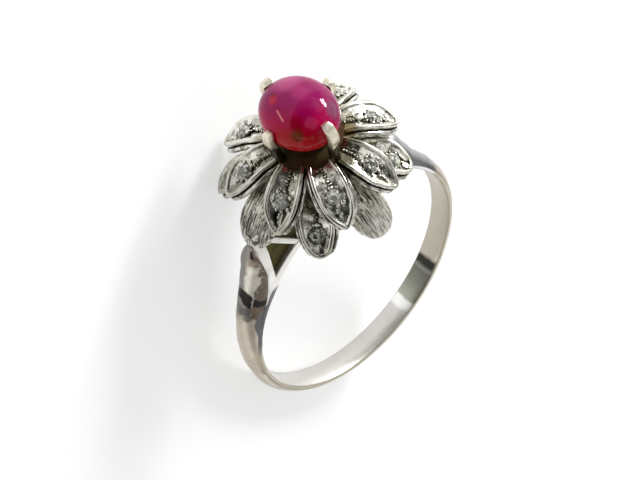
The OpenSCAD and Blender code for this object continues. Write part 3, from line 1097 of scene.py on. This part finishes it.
def on_head(x, y, z):
    """A point of the upright head, in the frame."""
    return LAID @ HEAD @ Vector((x, y, z))


def spots(place, *rows):
    """Marks from rows, smudges and painted light alike: a point, a radius, a colour, and a strength that is
    1 where it covers all.
    """
    return [(place(*row[:3]), *row[3:]) for row in rows]


left_stains = spots(
    on_ring,
    (-6.45, 10.2, 0.25, 0.18, BLACK, 0.8),
    (-6.54, 10.08, 0.34, 0.18, BLACK, 0.8),
    (-6.63, 9.95, 0.43, 0.16, BLACK, 0.8),
    (-6.72, 9.6, 0.68, 0.42, BROWN, 0.5),
    (-8.45, 5.75, 0.4, 0.45, GREY, 0.9),
    (-8.42, 5.2, 0.5, 0.35, GREY, 0.8),
    (-7.9, 5.65, 0.75, 0.36, BROWN, 0.9),
    (-8.75, 5.9, -0.1, 0.75, GREY, 0.6),
)

fork_stains = spots(
    on_ring,
    (-6.2, 11.15, 0.3, 0.2, OLIVE, 0.9),
    (-6.05, 11.05, 0.5, 0.18, OLIVE, 0.9),
    (-5.85, 11.0, 0.62, 0.18, OLIVE, 0.9),
    (-5.65, 10.95, 0.66, 0.2, OLIVE, 0.9),
)

petal_stains = spots(
    on_ring,
    (0.3, 15.1, 2.9, 0.7, OLIVE_BROWN, 0.8),
    (1.9, 15.3, 1.5, 0.8, HONEY, 0.85),
    (-0.15, 14.8, 3.4, 0.6, DEEP_OLIVE, 0.8),
)

# Rows on the ring's drawing are a painted highlight and painted reflections on the dome; rows on the head
# are specks and tints inside.
ruby_marks_and_reflections = spots(
    on_ring,
    (0.51, 19.42, -1.18, 1.2, (0.42, 0.075, 0.19), 0.6),
    (0.4, 19.63, 0.14, 0.9, (0.34, 0.03, 0.13), 0.5),
    (-0.35, 19.35, 1.35, 0.8, (0.20, 0.0, 0.05), 0.6),
    (1.5, 18.2, 2.0, 1.4, (0.15, 0.015, 0.065), 0.7),
    (1.1, 18.66, 2.0, 0.75, (0.17, 0.055, 0.11), 0.75),
    (-1.15, 19.1, 1.3, 0.7, (0.20, 0.0, 0.004), 0.7),
) + spots(
    on_head,
    (-0.69, 1.18, 19.38, 0.22, (0.10, 0.01, 0.0), 0.9),
    (-0.95, 0.9, 19.3, 0.5, (0.55, 0.02, 0.02), 0.5),
    (-1.58, -1.66, 18.57, 0.55, (0.09, 0.02, 0.0), 0.85),
)
ruby_thread = (on_head(-1.34, 0.15, 19.32), on_head(-1.56, -0.56, 19.13))

petal_metal = cut_gold(petal_stains)
band_metal = white_gold("band_gold", (0.82, 0.79, 0.74), (0.68, 0.63, 0.56), 0.2, band_colour)
shoulder_metal = white_gold("shoulder_gold", SHANK_LIGHT, SHANK_DULL, 0.24, left_colour, left_stains)
right_metal = white_gold("right_shoulder_gold", SHANK_LIGHT, SHANK_DULL, 0.26, painted_side_shade)
fork_metal = white_gold("fork_gold", (0.90, 0.88, 0.85), (0.78, 0.76, 0.72), 0.3, painted_side_shade, fork_stains,
                        crevices=False)
claw_metal = white_gold("claw_gold", CREAM, OLD_CREAM, 0.26, darker_legs, relief=0.02)
# The collet under the ruby: near-black tarnish and painted shade.
shaded_dark_metal = white_gold("tarnished_gold", (0.05, 0.023, 0.012), (0.02, 0.011, 0.006), 0.4, hollows=True)
# Tarnish and painted shade for the wall behind the left fork.
olive_shaded_metal = white_gold("olive_gold", (0.10, 0.085, 0.025), (0.03, 0.026, 0.01), 0.4)
brushed = satin_gold()
red = ruby_finish(on_head(1.1, 0.76, 19.35), on_head(-1.77, -1.71, 17.39), ruby_thread, ruby_marks_and_reflections)
grey_brilliant = diamond_finish()

piece("band", spun(band_outline()), band_metal, stands_for=["ring_body"])
piece("inner_arm", inner_arm(), fork_metal)
piece("shoulder_left", shoulder_dome(LEFT), shoulder_metal)
piece("fork_left", shoulder_fork(LEFT), fork_metal)
piece("fork_bar", fork_bar(), fork_metal)
piece("fork_back", fork_back(), olive_shaded_metal)
piece("shoulder_right", mirrored(shoulder_dome(RIGHT)), right_metal)
piece("fork_right", mirrored(shoulder_fork(RIGHT)), right_metal)


def stone_leaf(name, leaf, seat, angle, stretch, seed, spread, stone):
    """A leaf with its diamond, at an angle round the ruby."""
    piece(name, set_leaf(leaf, stretch, seat, seed, spread), petal_metal, turned(angle))
    piece(f"diamond_piece_{stone}", brilliant(), grey_brilliant,
          turned(angle) @ seat_place(leaf, stretch, seat), [f"diamond_{stone}"], sharp=1)


for i in range(8):
    angle = EIGHTH * (i + 0.5) + math.radians(UPPER_TURN[i])
    stone_leaf(f"upper_petal_{i + 1}", UPPER, UPPER_SEAT, angle, UPPER_STRETCH[i], i, UPPER_SPREAD[i], i + 1)
for i in range(4):
    angle = EIGHTH * (2 * i + 1) + math.radians(LOWER_TURN[i])
    stone_leaf(f"lower_leaf_{i + 1}", LOWER, LOWER_SEAT, angle, LOWER_STRETCH[i], LOWER_SEED + i,
               LOWER_SPREAD[i], len(UPPER_TURN) + i + 1)
    angle = EIGHTH * 2 * i + math.radians(SATIN_TURN[i])
    satin = satin_leaf(SATIN_STRETCH[i], SATIN_SEED + i, SATIN_SPREAD[i])
    piece(f"satin_leaf_{i + 1}", satin, brushed, turned(angle))
piece("collet", collet(), shaded_dark_metal, LAID @ HEAD)
for i in range(4):
    half_size, last = ((RUBY_ACROSS, 17), (RUBY_ALONG, 31))[i % 2]
    piece(f"claw_{i + 1}", claw(half_size, math.radians(last)), claw_metal, turned(2 * EIGHTH * i), sharp=30)
piece("ruby_piece", ruby(), red, LAID @ HEAD, ["ruby"])


# Floor, light and camera

def floor():
    """A wide pale floor under the ring, which lights itself a little so that it looks white."""
    half_size = 3
    bm = bmesh.new()
    bmesh.ops.create_grid(bm, x_segments=1, y_segments=1, size=half_size)
    bmesh.ops.translate(bm, vec=(0, 0, cad_box[0].z), verts=bm.verts)
    mesh = mesh_of("floor", bm)
    f = Finish(bpy.data.materials.new("floor"))
    f.set(Base_Color=(0.45, 0.45, 0.45), Roughness=0.9, Emission_Color=(1, 1, 1), Emission_Strength=0.58)
    mesh.materials.append(f.material)
    put("floor", mesh)


# The photo's view: direction to the camera, distance, roll, and where the hole's centre falls
SENSOR = 36
FOCAL_PIXELS = 2500
FRAME_PIXELS = (640, 480)
HOLE_PIXEL = (349.0, 272.3)
VIEW_AZIMUTH = math.radians(31.377)
VIEW_ELEVATION = math.radians(34.452)
VIEW_ROLL = math.radians(107.182)
VIEW_DISTANCE = 165.92 * MM


def camera():
    """The photo's camera."""
    data = bpy.data.cameras.new("camera")
    data.sensor_width = SENSOR
    data.lens = SENSOR * FOCAL_PIXELS / FRAME_PIXELS[0]
    data.clip_start = 0.005
    data.clip_end = 10
    made = put("camera", data)
    back = Vector((math.sin(VIEW_AZIMUTH) * math.cos(VIEW_ELEVATION),
                   -math.cos(VIEW_AZIMUTH) * math.cos(VIEW_ELEVATION), math.sin(VIEW_ELEVATION)))
    level = Vector((0, 0, 1)).cross(back).normalized()
    turn = Matrix((level, back.cross(level), back)).transposed() @ Matrix.Rotation(VIEW_ROLL, 3, "Z")
    to_hole = Vector(((HOLE_PIXEL[0] - FRAME_PIXELS[0] / 2) / FOCAL_PIXELS,
                      (FRAME_PIXELS[1] / 2 - HOLE_PIXEL[1]) / FOCAL_PIXELS, -1)).normalized()
    swing = Vector((0, 0, -1)).rotation_difference(to_hole).to_matrix()
    made.matrix_world = Matrix.Translation(back * VIEW_DISTANCE) @ (turn @ swing.inverted()).to_4x4()
    bpy.context.scene.camera = made
    return made


def area_light(name, towards, distance, size, power):
    """A soft box that faces the hole's centre, in metres and watts."""
    data = bpy.data.lights.new(name, "AREA")
    data.size = size
    data.energy = power
    made = put(name, data)
    spot = Vector(towards).normalized()
    made.location = spot * distance
    made.rotation_mode = "QUATERNION"
    made.rotation_quaternion = spot.to_track_quat("Z", "Y")


def world(towards):
    """A pale room with dim patches, dark round one direction."""
    dim, pale, dark = (0.30, 0.30, 0.29), (1.45, 1.45, 1.43), (0.05, 0.05, 0.05)
    made = bpy.data.worlds.new("studio")
    bpy.context.scene.world = made
    w = Finish(made, "Background")
    way = w.place("Generated")
    patches = w.noise(way, 2.6, 2, 0.6).ramp(0.44, 0.58)
    room = w.mix(patches, dim, pale)
    shaded = w.along(way, CENTRE, towards).ramp(0.55, 0.82)
    w.feed(w.surface.inputs["Color"], w.mix(shaded, room, dark))


floor()
eye = camera()
axes = eye.matrix_world.to_3x3()


def seen(right, up, back):
    """A direction given as the camera sees it."""
    return (axes @ Vector((right, up, back))).normalized()


world(seen(0.05, -0.05, 1.0))
area_light("key_high", seen(0.61, 0.83, 0.22), 0.4, 0.08, 0.95)
area_light("key_low", seen(0.66, 0.67, 0.24), 0.4, 0.06, 0.65)
area_light("window", seen(0.22, 0.0, 0.95), 0.5, 0.30, 0.25)
bpy.context.scene.view_settings.view_transform = "Standard"
